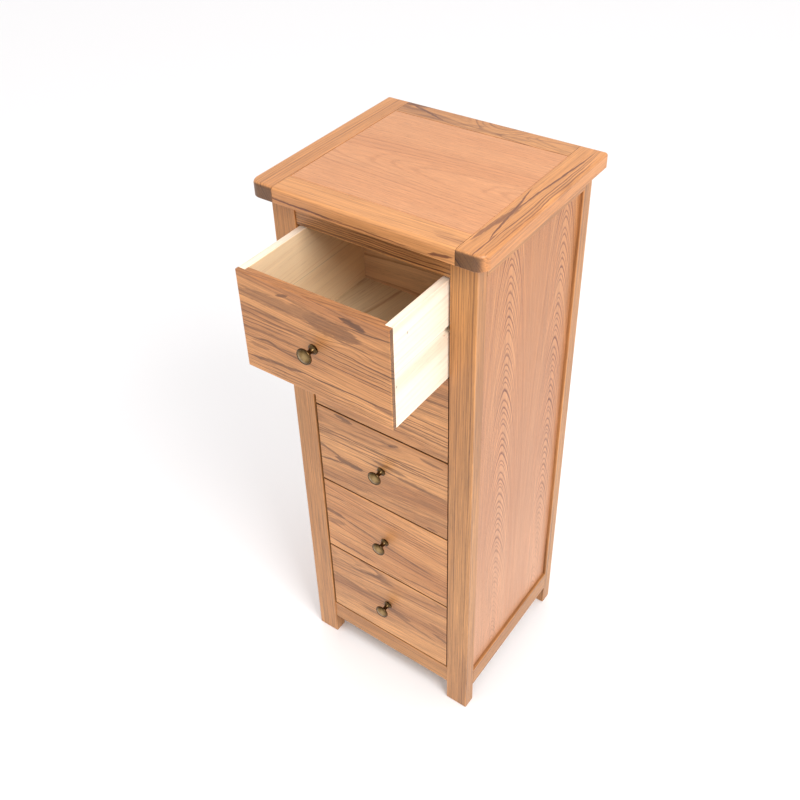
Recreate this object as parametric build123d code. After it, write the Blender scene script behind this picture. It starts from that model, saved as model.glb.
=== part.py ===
from build123d import *
from math import sqrt
import os

# Tall chest of five drawers, frame and panel, in millimetres.
# X runs to the right seen from the front, Y runs from the front to the back, Z is up.
# The origin is on the floor, under the middle of the top.

# Overall sizes
WIDTH = 450.0
DEPTH = 395.0
HEIGHT = 1165.0
TOP_THICK = 28.0
OVERHANG = 24.0  # of the top past the posts, at the sides and the front; none at the back

# Top frame
TOP_SIDE_BOARD_W = 49.0
TOP_RAIL_W = 48.0
TOP_PANEL_THICK = 20.0
TOP_FRONT_CORNER_R = 20.0
TOP_BACK_CORNER_R = 4.0
TOP_UPPER_EDGE_R = 6.0
TOP_LOWER_EDGE_R = 1.5
SEAM_CHAMFER = 0.9
SEAM_GAP = 0.7  # between the boards of the top, where they meet at the surface

# Carcass frame
POST_W = 49.0  # along X
POST_D = 28.0  # along Y
FOOT_H = 54.0  # floor to the underside of the lower rails
LOWER_RAIL_H = 48.0
FRONT_UPPER_RAIL_H = 45.0
SIDE_UPPER_RAIL_H = 38.0
RAIL_THICK = 22.0
SIDE_RAIL_THICK = 20.0
FRONT_SETBACK = 2.5  # of the front rails and drawer fronts behind the posts
EDGE_BREAK = 1.0
FOOT_BREAK = 1.5

# Joinery
TENON_THICK = 10.0
TENON_SHOULDER = 8.0
FRONT_TENON_L = 20.0
SIDE_TENON_L = 12.0
TONGUE_L = 8.0
TONGUE_THICK = 8.0
PANEL_THICK = 8.0
PANEL_INSET = 7.0  # of the panel's outer face behind the frame
BACK_PANEL_INSET = 6.5
GROOVE_SPARE = 0.5  # at the edge of a panel, for the wood to move

# Screws that hold the top down
SCREW_R = 2.0
SCREW_HOLE_R = 2.2
SCREW_HEAD_R = 4.0
SCREW_HEAD_H = 2.6
SCREW_DRIVE_R = 1.6
SCREW_DRIVE_DEPTH = 1.5
COUNTERBORE_R = 5.0
COUNTERBORE_DEPTH = 18.0
TOP_SCREW_BITE = 16.0
TOP_SCREW_X = 100.0
TOP_SCREW_FRONT = 8.0  # of the front screws behind the rail's face

# Drawers
DRAWER_COUNT = 5
DRAWER_H = 195.8
SHALLOW_COUNT = 2  # the upper drawers, which share the height that is left
DRAWER_GAP = 3.5  # above, below and between the fronts
FRONT_SIDE_GAP = 2.75
TOP_DRAWER_OPEN = 154.9  # how far the top drawer stands open at rest
FRONT_THICK = 16.0
FRONT_LAP = 8.0  # of the front that covers the ends of the sides
FRONT_EDGE_R = 1.6
SIDE_THICK = 14.0
SIDE_INSET = 0.5  # of each side behind the end of the front
SIDE_EDGE_R = 1.0
DRAWER_BACK_THICK = 12.0
DRAWER_BACK_DROP = 15.0  # of the back's top edge below the sides
DRAWER_BACK_HOUSING = 5.0
DRAWER_INNER_BACK = 138.0  # the back's inner face, with the drawer closed
SIDE_END = 176.0  # the rear ends of the sides, with the drawer closed
BOTTOM_RISE = 5.0
BOTTOM_THICK = 5.0
BOTTOM_GROOVE = 6.0

# Runners
RUNNER_H = 14.0
RUNNER_FRONT = -32.0
RUNNER_REACH = 6.5  # of the tongue into the drawer side
RUNNER_BATTEN_H = 26.0
RUNNER_BATTEN_THICK = 22.0
RUNNER_BATTEN_GAP = 1.0
RUNNER_TENON_L = 8.0
RUNNER_CLEAR = 0.3
RUNNER_LIFT = 3.0  # above the middle of the drawer's side
RUNNER_STOP_CLEAR = 0.5
SIDE_GROOVE_DEPTH = 7.5

# Knobs
KNOB_BASE_R = 9.2
KNOB_FLANGE_H = 1.5
KNOB_STEP_R = 7.6
KNOB_STEP_AT = 2.2
KNOB_WAIST_R = 4.3
KNOB_WAIST_AT = 11.5
KNOB_UNDER_R = 11.6
KNOB_UNDER_AT = 20.6
KNOB_DISC_R = 14.8
KNOB_FACE_R = 13.4
KNOB_FACE_AT = 24.8
KNOB_DISH = 0.4
KNOB_RIM_W = 1.0
KNOB_DOME = 2.6
KNOB_HOLLOW = 0.33  # how full the curves into the waist are
KNOB_SCREW_BITE = 9.0
KNOB_SCREW_HEAD_H = 2.8
KNOB_SCREW_SPARE = 1.0

# Derived places
TOP_FRONT_Y = -DEPTH / 2
BACK_Y = DEPTH / 2
FRONT_Y = TOP_FRONT_Y + OVERHANG
BODY_X = WIDTH / 2 - OVERHANG
BODY_H = HEIGHT - TOP_THICK
OPENING_X = BODY_X - POST_W
FRONT_POST_BACK_Y = FRONT_Y + POST_D
BACK_POST_FRONT_Y = BACK_Y - POST_D
FACE_Y = FRONT_Y + FRONT_SETBACK
LOWER_RAIL_TOP = FOOT_H + LOWER_RAIL_H
FRONT_RAIL_BOTTOM = BODY_H - FRONT_UPPER_RAIL_H
SIDE_RAIL_BOTTOM = BODY_H - SIDE_UPPER_RAIL_H
SIDE_RAIL_X = BODY_X - SIDE_RAIL_THICK
PANEL_OUT_X = BODY_X - PANEL_INSET
PANEL_IN_X = PANEL_OUT_X - PANEL_THICK
BACK_RAIL_Y = BACK_Y - RAIL_THICK
TOP_INNER_X = WIDTH / 2 - TOP_SIDE_BOARD_W
TOP_INNER_Y = DEPTH / 2 - TOP_RAIL_W
DRAWER_X = OPENING_X - FRONT_SIDE_GAP
DRAWER_SIDE_X = DRAWER_X - SIDE_INSET
DRAWER_INNER_X = DRAWER_SIDE_X - SIDE_THICK
SHALLOW_BOTTOM = LOWER_RAIL_TOP + DRAWER_GAP + (DRAWER_COUNT - SHALLOW_COUNT) * (DRAWER_H + DRAWER_GAP)
SHALLOW_H = (FRONT_RAIL_BOTTOM - SHALLOW_BOTTOM) / SHALLOW_COUNT - DRAWER_GAP


def block(x0, x1, y0, y1, z0, z1):
    """A box between two corners, given in either order along each axis."""
    size = (abs(x1 - x0), abs(y1 - y0), abs(z1 - z0))
    centre = ((x0 + x1) / 2, (y0 + y1) / 2, (z0 + z1) / 2)
    return Pos(*centre) * Box(*size)


def upright(centre_x, centre_y, radius, z0, z1):
    """A vertical cylinder."""
    return Pos(centre_x, centre_y, (z0 + z1) / 2) * Cylinder(radius, z1 - z0)


def mirrored(shape):
    """The same piece on the other side of the chest."""
    return mirror(shape, about=Plane.YZ)


def edges_along(shape, axis, keep):
    """The straight edges parallel to an axis whose middle passes a test."""
    return [e for e in shape.edges().filter_by(axis) if keep(e.center())]


# ---------------------------------------------------------------- top


def top_side_board():
    """The right board of the top: full depth, rounded at its outer corners."""
    board = block(TOP_INNER_X, WIDTH / 2, TOP_FRONT_Y, BACK_Y, BODY_H, HEIGHT)
    mid = (TOP_INNER_X + WIDTH / 2) / 2
    front_corner = edges_along(board, Axis.Z, lambda c: c.X > mid and c.Y < 0)
    board = fillet(front_corner, TOP_FRONT_CORNER_R)
    back_corner = edges_along(board, Axis.Z, lambda c: c.X > mid and c.Y > 0)
    board = fillet(back_corner, TOP_BACK_CORNER_R)
    free_x = TOP_INNER_X + EDGE_BREAK
    upper_face = board.faces().sort_by(Axis.Z)[-1]
    board = fillet([e for e in upper_face.edges() if e.center().X > free_x], TOP_UPPER_EDGE_R)
    lower_face = board.faces().sort_by(Axis.Z)[0]
    board = fillet([e for e in lower_face.edges() if e.center().X > free_x], TOP_LOWER_EDGE_R)
    for sign in (-1, 1):
        board -= top_rail_tenon(sign)
    board -= top_tongue(GROOVE_SPARE)
    return board


def top_rail_tenon(sign):
    """The right-hand tenon of the top's front (-1) or back (+1) rail."""
    middle_y = sign * (DEPTH / 2 - TOP_RAIL_W / 2)
    half = TOP_RAIL_W / 2 - TENON_SHOULDER
    middle_z = BODY_H + TOP_THICK / 2
    return block(
        TOP_INNER_X - SEAM_GAP,
        TOP_INNER_X + SIDE_TENON_L,
        middle_y - half,
        middle_y + half,
        middle_z - TENON_THICK / 2,
        middle_z + TENON_THICK / 2,
    )


def top_tongue(spare):
    """The tongue all round the top's centre panel."""
    reach = TONGUE_L + spare
    middle_z = BODY_H + TOP_THICK / 2
    return block(
        -TOP_INNER_X - reach,
        TOP_INNER_X + reach,
        -TOP_INNER_Y - reach,
        TOP_INNER_Y + reach,
        middle_z - TONGUE_THICK / 2,
        middle_z + TONGUE_THICK / 2,
    )


def top_rail(sign):
    """The top's front (-1) or back (+1) rail, tenoned into the side boards."""
    outer_y = sign * DEPTH / 2
    inner_y = sign * TOP_INNER_Y
    shoulder_x = TOP_INNER_X - SEAM_GAP
    rail = block(-shoulder_x, shoulder_x, outer_y, inner_y, BODY_H, HEIGHT)
    outer_edges = edges_along(rail, Axis.X, lambda c: abs(c.Y) > TOP_INNER_Y + EDGE_BREAK)
    upper = [e for e in outer_edges if e.center().Z > HEIGHT - EDGE_BREAK]
    lower = [e for e in outer_edges if e.center().Z < BODY_H + EDGE_BREAK]
    rail = fillet(upper, TOP_UPPER_EDGE_R)
    rail = fillet([e for e in rail.edges() if e in lower], TOP_LOWER_EDGE_R)
    rail += top_rail_tenon(sign)
    rail += mirrored(top_rail_tenon(sign))
    rail -= top_tongue(GROOVE_SPARE)
    return rail


def top_panel():
    """The top's centre panel, with a tongue all round and a fine seam at its upper edges."""
    x = TOP_INNER_X - SEAM_GAP
    y = TOP_INNER_Y - SEAM_GAP
    panel = block(-x, x, -y, y, HEIGHT - TOP_PANEL_THICK, HEIGHT)
    panel = chamfer(panel.faces().sort_by(Axis.Z)[-1].edges(), SEAM_CHAMFER)
    return panel + top_tongue(0)


# ---------------------------------------------------------------- carcass


def front_rail_tenon(z0, z1):
    """The right-hand tenon of a front rail."""
    middle_y = FACE_Y + RAIL_THICK / 2
    return block(
        OPENING_X,
        OPENING_X + FRONT_TENON_L,
        middle_y - TENON_THICK / 2,
        middle_y + TENON_THICK / 2,
        z0 + TENON_SHOULDER,
        z1 - TENON_SHOULDER,
    )


def back_rail_tenon(z0, z1):
    """The right-hand tenon of a back rail."""
    middle_y = BACK_RAIL_Y + RAIL_THICK / 2
    return block(
        OPENING_X,
        OPENING_X + FRONT_TENON_L,
        middle_y - TENON_THICK / 2,
        middle_y + TENON_THICK / 2,
        z0 + TENON_SHOULDER,
        z1 - TENON_SHOULDER,
    )


def side_rail_tenon(y0, y1, z0, z1):
    """A tenon of the right side's rails, in a post."""
    middle_x = (SIDE_RAIL_X + BODY_X) / 2
    return block(
        middle_x - TENON_THICK / 2,
        middle_x + TENON_THICK / 2,
        y0,
        y1,
        z0 + TENON_SHOULDER,
        z1 - TENON_SHOULDER,
    )


SIDE_RAIL_SPANS = {
    "upper": (SIDE_RAIL_BOTTOM, BODY_H),
    "lower": (FOOT_H, LOWER_RAIL_TOP),
}
FRONT_RAIL_SPANS = {
    "upper": (FRONT_RAIL_BOTTOM, BODY_H),
    "lower": (FOOT_H, LOWER_RAIL_TOP),
}


def side_panel(spare):
    """The right side's panel, which stands in grooves in the posts and rails."""
    reach = TONGUE_L + spare
    return block(
        PANEL_IN_X,
        PANEL_OUT_X,
        FRONT_POST_BACK_Y - reach,
        BACK_POST_FRONT_Y + reach,
        LOWER_RAIL_TOP - reach,
        SIDE_RAIL_BOTTOM + reach,
    )


def back_panel(spare):
    """The thin back panel, in grooves in the back posts and rails."""
    reach = TONGUE_L + spare
    return block(
        -OPENING_X - reach,
        OPENING_X + reach,
        BACK_Y - BACK_PANEL_INSET - PANEL_THICK,
        BACK_Y - BACK_PANEL_INSET,
        LOWER_RAIL_TOP - reach,
        FRONT_RAIL_BOTTOM + reach,
    )


def post(is_front):
    """The right front or right back post, with its mortises and grooves."""
    y0 = FRONT_Y if is_front else BACK_POST_FRONT_Y
    y1 = FRONT_POST_BACK_Y if is_front else BACK_Y
    piece = block(OPENING_X, BODY_X, y0, y1, 0, BODY_H)
    piece = chamfer(piece.edges().filter_by(Axis.Z), EDGE_BREAK)
    piece = chamfer(piece.faces().sort_by(Axis.Z)[0].edges(), FOOT_BREAK)
    inner_y = y1 if is_front else y0
    deep_y = inner_y - SIDE_TENON_L if is_front else inner_y + SIDE_TENON_L
    for z0, z1 in SIDE_RAIL_SPANS.values():
        piece -= side_rail_tenon(inner_y, deep_y, z0, z1)
    for z0, z1 in FRONT_RAIL_SPANS.values():
        piece -= front_rail_tenon(z0, z1) if is_front else back_rail_tenon(z0, z1)
    piece -= side_panel(GROOVE_SPARE)
    if not is_front:
        piece -= back_panel(GROOVE_SPARE)
    for index in range(DRAWER_COUNT):
        piece -= runner_batten(index)
    return piece


def side_rail(name):
    """A rail of the right side, tenoned into both posts and grooved for the panel."""
    z0, z1 = SIDE_RAIL_SPANS[name]
    rail = block(SIDE_RAIL_X, BODY_X, FRONT_POST_BACK_Y, BACK_POST_FRONT_Y, z0, z1)
    inner_z = z0 if name == "upper" else z1
    outer_x = BODY_X - EDGE_BREAK
    arris = edges_along(rail, Axis.Y, lambda c: c.X > outer_x and abs(c.Z - inner_z) < EDGE_BREAK)
    rail = chamfer(arris, EDGE_BREAK)
    rail += side_rail_tenon(FRONT_POST_BACK_Y - SIDE_TENON_L, FRONT_POST_BACK_Y, z0, z1)
    rail += side_rail_tenon(BACK_POST_FRONT_Y, BACK_POST_FRONT_Y + SIDE_TENON_L, z0, z1)
    rail -= side_panel(GROOVE_SPARE)
    if name == "upper":
        rail -= top_screw_hole(TOP_SCREW_PLACES[-1], z0)
    return rail


def front_rail(name):
    """The rail above or below the drawers, a little behind the posts."""
    z0, z1 = FRONT_RAIL_SPANS[name]
    rail = block(-OPENING_X, OPENING_X, FACE_Y, FACE_Y + RAIL_THICK, z0, z1)
    arrises = edges_along(rail, Axis.X, lambda c: c.Y < FACE_Y + EDGE_BREAK and c.Z < BODY_H - EDGE_BREAK)
    rail = chamfer(arrises, EDGE_BREAK)
    rail += front_rail_tenon(z0, z1)
    rail += mirrored(front_rail_tenon(z0, z1))
    if name == "upper":
        for place in TOP_SCREW_PLACES[:2]:
            rail -= top_screw_hole(place, z0)
    return rail


def back_rail(name):
    """The upper or lower rail at the back, grooved for the back panel."""
    z0, z1 = FRONT_RAIL_SPANS[name]
    rail = block(-OPENING_X, OPENING_X, BACK_RAIL_Y, BACK_Y, z0, z1)
    rail += back_rail_tenon(z0, z1)
    rail += mirrored(back_rail_tenon(z0, z1))
    rail -= back_panel(GROOVE_SPARE)
    if name == "upper":
        for place in TOP_SCREW_PLACES[2:4]:
            rail -= top_screw_hole(place, z0)
    return rail


# Screws up into the top: two through the front rail, two through the back rail, one through each side rail.
TOP_SCREW_PLACES = [
    (-TOP_SCREW_X, FACE_Y + TOP_SCREW_FRONT),
    (TOP_SCREW_X, FACE_Y + TOP_SCREW_FRONT),
    (-TOP_SCREW_X, BACK_RAIL_Y + RAIL_THICK / 2),
    (TOP_SCREW_X, BACK_RAIL_Y + RAIL_THICK / 2),
    (-(SIDE_RAIL_X + BODY_X) / 2, 0),
    ((SIDE_RAIL_X + BODY_X) / 2, 0),
]


def top_screw_hole(place, rail_bottom):
    """The counterbore and the clearance hole of one screw, through a rail."""
    x, y = place
    bore = upright(x, y, COUNTERBORE_R, rail_bottom, rail_bottom + COUNTERBORE_DEPTH)
    return bore + upright(x, y, SCREW_HOLE_R, rail_bottom, BODY_H)


def top_pilot_holes():
    """The blind holes that the screws bite into, in the top's underside."""
    hole_top = BODY_H + TOP_SCREW_BITE + EDGE_BREAK
    return Part() + [upright(x, y, SCREW_HOLE_R, BODY_H, hole_top) for x, y in TOP_SCREW_PLACES]


def top_screw(place, seat_z):
    """One pan-head screw whose head bears on its counterbore."""
    x, y = place
    shank = upright(x, y, SCREW_R, seat_z, BODY_H + TOP_SCREW_BITE)
    head = upright(x, y, SCREW_HEAD_R, seat_z - SCREW_HEAD_H, seat_z)
    head = fillet(head.faces().sort_by(Axis.Z)[0].edges(), EDGE_BREAK)
    drive = upright(x, y, SCREW_DRIVE_R, seat_z - SCREW_HEAD_H, seat_z - SCREW_HEAD_H + SCREW_DRIVE_DEPTH)
    return shank + head - drive


def top_screws():
    """All six screws of the top, as separate solids."""
    rail_bottoms = [FRONT_RAIL_BOTTOM] * 4 + [SIDE_RAIL_BOTTOM] * 2
    pairs = zip(TOP_SCREW_PLACES, rail_bottoms)
    return Compound(children=[top_screw(place, bottom + COUNTERBORE_DEPTH) for place, bottom in pairs])


# ---------------------------------------------------------------- drawer places


def drawer_span(index):
    """The lowest and highest Z of a drawer's front, drawer 0 at the top."""
    if index < SHALLOW_COUNT:
        low = SHALLOW_BOTTOM + (SHALLOW_COUNT - 1 - index) * (SHALLOW_H + DRAWER_GAP)
        return low, low + SHALLOW_H
    low = LOWER_RAIL_TOP + DRAWER_GAP + (DRAWER_COUNT - 1 - index) * (DRAWER_H + DRAWER_GAP)
    return low, low + DRAWER_H


def runner_level(index):
    """The middle Z of a drawer's runners."""
    z0, z1 = drawer_span(index)
    return (z0 + z1) / 2 + RUNNER_LIFT


def drawer_open(index):
    """How far a drawer stands open at rest."""
    return TOP_DRAWER_OPEN if index == 0 else 0.0


# ---------------------------------------------------------------- runners


def runner_batten(index):
    """The right-hand runner's batten between the posts, with its stub tenons."""
    middle_z = runner_level(index)
    near_x = OPENING_X + RUNNER_BATTEN_GAP
    far_x = near_x + RUNNER_BATTEN_THICK
    half = RUNNER_BATTEN_H / 2
    batten = block(near_x, far_x, FRONT_POST_BACK_Y, BACK_POST_FRONT_Y, middle_z - half, middle_z + half)
    tenon_half = RUNNER_H / 2
    tenon = block(
        near_x + TENON_SHOULDER,
        far_x - EDGE_BREAK,
        FRONT_POST_BACK_Y - RUNNER_TENON_L,
        BACK_POST_FRONT_Y + RUNNER_TENON_L,
        middle_z - tenon_half,
        middle_z + tenon_half,
    )
    return batten + tenon


def rounded_bar(x0, x1, front_y, back_y, middle_z, height):
    """A bar along Y whose front end is a half round, seen from the side."""
    radius = height / 2
    bar = block(x0, x1, front_y + radius, back_y, middle_z - radius, middle_z + radius)
    nose = Pos((x0 + x1) / 2, front_y + radius, middle_z) * Rot(0, 90, 0) * Cylinder(radius, abs(x1 - x0))
    return bar + nose


def runner(index):
    """A right-hand runner: a batten with a tongue that stands into the drawer side."""
    tip_x = DRAWER_SIDE_X - RUNNER_REACH
    root_x = OPENING_X + RUNNER_BATTEN_GAP
    tongue = rounded_bar(tip_x, root_x, RUNNER_FRONT, BACK_POST_FRONT_Y, runner_level(index), RUNNER_H)
    return runner_batten(index) + tongue


def runners():
    """The five right-hand runners, as separate solids."""
    return Compound(children=[runner(index) for index in range(DRAWER_COUNT)])


# ---------------------------------------------------------------- drawers, built closed


def runner_groove(index):
    """The stopped groove that the runner's tongue slides in, cut in the right side."""
    height = RUNNER_H + 2 * RUNNER_CLEAR
    front_y = RUNNER_FRONT - RUNNER_STOP_CLEAR
    deep_x = DRAWER_SIDE_X - SIDE_GROOVE_DEPTH
    near_x = DRAWER_SIDE_X + EDGE_BREAK
    return rounded_bar(deep_x, near_x, front_y, SIDE_END + EDGE_BREAK, runner_level(index), height)


def drawer_bottom(index, spare):
    """The bottom board, held in grooves in the front and the sides, under the back."""
    z0, _ = drawer_span(index)
    return block(
        -DRAWER_INNER_X - BOTTOM_GROOVE - spare,
        DRAWER_INNER_X + BOTTOM_GROOVE + spare,
        FACE_Y + FRONT_THICK - BOTTOM_GROOVE - spare,
        DRAWER_INNER_BACK + DRAWER_BACK_THICK,
        z0 + BOTTOM_RISE,
        z0 + BOTTOM_RISE + BOTTOM_THICK,
    )


def drawer_back(index):
    """The back, let into the sides and standing on the bottom."""
    z0, z1 = drawer_span(index)
    reach = DRAWER_INNER_X + DRAWER_BACK_HOUSING
    back_y = DRAWER_INNER_BACK + DRAWER_BACK_THICK
    back = block(
        -reach,
        reach,
        DRAWER_INNER_BACK,
        back_y,
        z0 + BOTTOM_RISE + BOTTOM_THICK,
        z1 - DRAWER_BACK_DROP,
    )
    upper = edges_along(back, Axis.X, lambda c: c.Z > z1 - DRAWER_BACK_DROP - EDGE_BREAK)
    return fillet(upper, SIDE_EDGE_R)


def drawer_side(index):
    """The right side, from the lap of the front to its rear end."""
    z0, z1 = drawer_span(index)
    side = block(DRAWER_INNER_X, DRAWER_SIDE_X, FACE_Y + FRONT_LAP, SIDE_END, z0, z1)
    upper = edges_along(side, Axis.Y, lambda c: c.Z > z1 - EDGE_BREAK)
    side = fillet(upper, SIDE_EDGE_R)
    side -= runner_groove(index)
    side -= drawer_bottom(index, GROOVE_SPARE)
    side -= block(
        DRAWER_INNER_X,
        DRAWER_INNER_X + DRAWER_BACK_HOUSING,
        DRAWER_INNER_BACK,
        DRAWER_INNER_BACK + DRAWER_BACK_THICK,
        z0 + BOTTOM_RISE + BOTTOM_THICK,
        z1 + EDGE_BREAK,
    )
    return side


def drawer_front(index):
    """The front, rebated at its ends over the sides and bored for the knob's screw."""
    z0, z1 = drawer_span(index)
    front = block(-DRAWER_X, DRAWER_X, FACE_Y, FACE_Y + FRONT_THICK, z0, z1)
    face_edges = front.faces().sort_by(Axis.Y)[0].edges()
    front = fillet(face_edges, FRONT_EDGE_R)
    rebate = block(
        DRAWER_INNER_X,
        DRAWER_X + EDGE_BREAK,
        FACE_Y + FRONT_LAP,
        FACE_Y + FRONT_THICK + EDGE_BREAK,
        z0 - EDGE_BREAK,
        z1 + EDGE_BREAK,
    )
    front -= rebate
    front -= mirrored(rebate)
    front -= drawer_bottom(index, GROOVE_SPARE)
    middle = Pos(0, FACE_Y + FRONT_THICK / 2, (z0 + z1) / 2)
    return front - middle * Rot(90, 0, 0) * Cylinder(SCREW_HOLE_R, FRONT_THICK)


def knob(index):
    """A turned mushroom knob: stepped foot, thin waist, rounded disc and a domed face inside a fine rim."""
    z0, z1 = drawer_span(index)
    foot = (KNOB_BASE_R, KNOB_FLANGE_H)
    step = (KNOB_STEP_R, KNOB_STEP_AT)
    waist = (KNOB_WAIST_R, KNOB_WAIST_AT)
    under = (KNOB_UNDER_R, KNOB_UNDER_AT)
    widest = (KNOB_DISC_R, (KNOB_UNDER_AT + KNOB_FACE_AT) / 2)
    face = (KNOB_FACE_R, KNOB_FACE_AT)
    dish = (KNOB_FACE_R - KNOB_RIM_W, KNOB_FACE_AT - KNOB_DISH)
    outline = [
        Line((0, 0), (KNOB_BASE_R, 0)),
        Line((KNOB_BASE_R, 0), foot),
        Line(foot, step),
        ThreePointArc(step, hollow(step, waist), waist),
        ThreePointArc(waist, hollow(under, waist), under),
        ThreePointArc(under, widest, face),
        Line(face, dish),
        ThreePointArc(dish, dome_point(dish, dish[0] / 2), dome_point(dish, 0)),
        Line(dome_point(dish, 0), (0, 0)),
    ]
    turned = revolve(Plane.XZ * make_face(outline), axis=Axis.Z)
    bore_l = KNOB_SCREW_BITE + KNOB_SCREW_SPARE
    turned -= Pos(0, 0, bore_l / 2) * Cylinder(SCREW_HOLE_R, bore_l)
    return Pos(0, FACE_Y, (z0 + z1) / 2) * Rot(90, 0, 0) * turned


def dome_point(dish, r):
    """A point at radius r of the ball-shaped dome that rises from the dish's edge."""
    dish_r, dish_h = dish
    ball_r = (dish_r**2 + KNOB_DOME**2) / (2 * KNOB_DOME)
    return (r, dish_h + KNOB_DOME - ball_r + sqrt(ball_r**2 - r**2))


def hollow(wide, narrow):
    """A point between two points of the knob's outline, pulled in towards the axis."""
    share = KNOB_HOLLOW
    return (narrow[0] + (wide[0] - narrow[0]) * share, wide[1] + (narrow[1] - wide[1]) * share)


def knob_screw(index):
    """The machine screw that holds the knob, its head inside the drawer."""
    z0, z1 = drawer_span(index)
    shank_l = FRONT_THICK + KNOB_SCREW_BITE
    shank = Pos(0, 0, -shank_l / 2) * Cylinder(SCREW_R, shank_l)
    head = Pos(0, 0, KNOB_SCREW_HEAD_H / 2) * Cylinder(SCREW_HEAD_R, KNOB_SCREW_HEAD_H)
    head = fillet(head.faces().sort_by(Axis.Z)[-1].edges(), EDGE_BREAK)
    slot_z = KNOB_SCREW_HEAD_H - SCREW_DRIVE_DEPTH / 2
    slot = Pos(0, 0, slot_z) * Box(2 * SCREW_HEAD_R, SCREW_DRIVE_R / 2, SCREW_DRIVE_DEPTH)
    screw = shank + head - slot
    return Pos(0, FACE_Y + FRONT_THICK, (z0 + z1) / 2) * Rot(-90, 0, 0) * screw


# ---------------------------------------------------------------- the whole chest


def pair(left_name, right_name, right_piece):
    """A right-hand piece and its mirror image, by name."""
    return {right_name: right_piece, left_name: mirrored(right_piece)}


def top_nodes():
    pilots = top_pilot_holes()
    nodes = pair("top_left_board", "top_right_board", top_side_board() - pilots)
    nodes["top_front_rail"] = top_rail(-1) - pilots
    nodes["top_back_rail"] = top_rail(1) - pilots
    nodes["top_panel"] = top_panel()
    nodes["top_screws"] = top_screws()
    return nodes


def carcass_nodes():
    nodes = pair("front_left_post", "front_right_post", post(True))
    nodes |= pair("back_left_post", "back_right_post", post(False))
    nodes |= pair("left_side_panel", "right_side_panel", side_panel(0))
    nodes |= pair("left_runners", "right_runners", runners())
    for name in ("upper", "lower"):
        nodes |= pair(f"left_{name}_rail", f"right_{name}_rail", side_rail(name))
        nodes[f"front_{name}_rail"] = front_rail(name)
        nodes[f"back_{name}_rail"] = back_rail(name)
    nodes["back_panel"] = back_panel(0)
    return nodes


def drawer_nodes(index):
    name = f"drawer_{index + 1}"
    nodes = pair(f"{name}_left_side", f"{name}_right_side", drawer_side(index))
    nodes[f"{name}_front"] = drawer_front(index)
    nodes[f"{name}_back"] = drawer_back(index)
    nodes[f"{name}_bottom"] = drawer_bottom(index, 0)
    nodes[f"{name}_knob"] = knob(index)
    nodes[f"{name}_knob_screw"] = knob_screw(index)
    pulled = Pos(0, -drawer_open(index), 0)
    return {key: pulled * piece for key, piece in nodes.items()}


def main():
    nodes = top_nodes() | carcass_nodes()
    for index in range(DRAWER_COUNT):
        nodes |= drawer_nodes(index)
    os.makedirs("parts", exist_ok=True)
    for name, shape in nodes.items():
        export_step(shape, f"parts/{name}.step")


main()
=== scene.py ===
import math
import random
from dataclasses import dataclass

import bpy
from mathutils import Matrix, Vector


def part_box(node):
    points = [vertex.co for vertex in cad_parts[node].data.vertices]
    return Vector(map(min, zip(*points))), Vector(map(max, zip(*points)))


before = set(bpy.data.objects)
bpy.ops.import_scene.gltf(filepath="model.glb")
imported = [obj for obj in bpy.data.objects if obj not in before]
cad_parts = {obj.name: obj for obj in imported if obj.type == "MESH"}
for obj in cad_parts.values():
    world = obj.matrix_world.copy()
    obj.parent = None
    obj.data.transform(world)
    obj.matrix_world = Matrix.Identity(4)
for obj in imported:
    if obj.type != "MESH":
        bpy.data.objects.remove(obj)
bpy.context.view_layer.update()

MM = 0.001

# ---------------------------------------------------------------- camera

CAMERA_PLACE = Vector((0.8221, -1.2192, 1.9114))
CAMERA_AZIMUTH = 38.38
CAMERA_ELEVATION = 38.09
CAMERA_ROLL = -3.09
CAMERA_LENS = 44.1
CAMERA_SENSOR = 36
CAMERA_REACH = 50
CAMERA_SHIFT = (0.035, -0.048)


def add_camera():
    data = bpy.data.cameras.new("camera")
    data.sensor_width = CAMERA_SENSOR
    data.lens = CAMERA_LENS
    data.shift_x, data.shift_y = CAMERA_SHIFT
    data.clip_end = CAMERA_REACH
    camera = bpy.data.objects.new("camera", data)
    bpy.context.scene.collection.objects.link(camera)
    turn = Matrix.Rotation(math.radians(CAMERA_AZIMUTH), 4, "Z")
    tilt = Matrix.Rotation(math.radians(90 - CAMERA_ELEVATION), 4, "X")
    roll = Matrix.Rotation(math.radians(CAMERA_ROLL), 4, "Z")
    camera.matrix_world = Matrix.Translation(CAMERA_PLACE) @ turn @ tilt @ roll
    bpy.context.scene.camera = camera


add_camera()

# ---------------------------------------------------------------- shader graphs


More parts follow.
